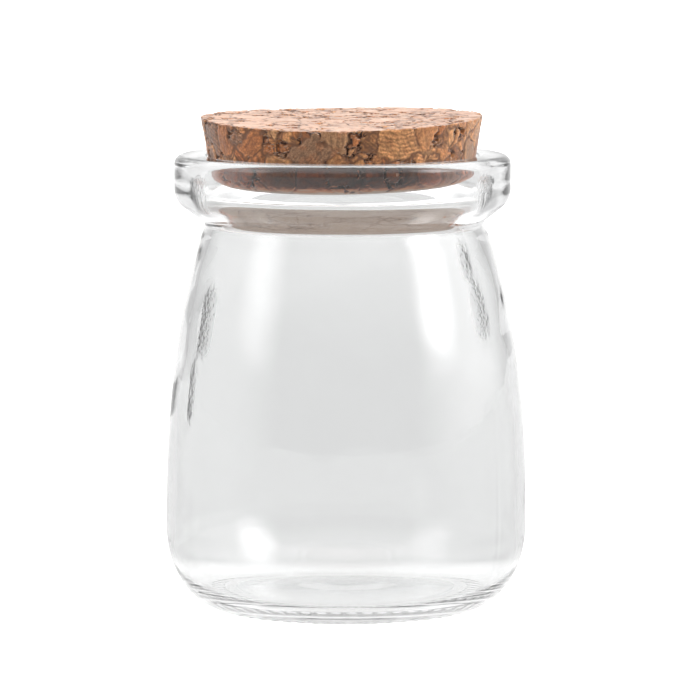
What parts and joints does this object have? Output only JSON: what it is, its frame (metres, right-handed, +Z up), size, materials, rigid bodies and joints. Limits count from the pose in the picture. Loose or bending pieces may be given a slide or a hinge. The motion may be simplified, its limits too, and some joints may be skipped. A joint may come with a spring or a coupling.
{
  "type": "corked glass jar",
  "caption": "Small round-shouldered clear glass jar with a thick collar at its mouth, closed by a tapered pressed-cork stopper.",
  "frame": {"origin": "middle of the circle on which the jar stands", "axes": "+Z up along the jar's axis, the viewer in front at -Y, +X to the viewer's right"},
  "size_m": [0.058, 0.058, 0.0795],
  "materials": {
    "clear_glass": "clear moulded soda-lime glass, smooth and glossy, with slightly uneven walls",
    "pressed_cork": "pressed cork granules, matte, golden brown with dark gaps, paler on the cut top"
  },
  "bodies": {
    "root": {"glass_jar": "clear_glass", "cork_stopper": "pressed_cork"}
  },
  "joints": []
}
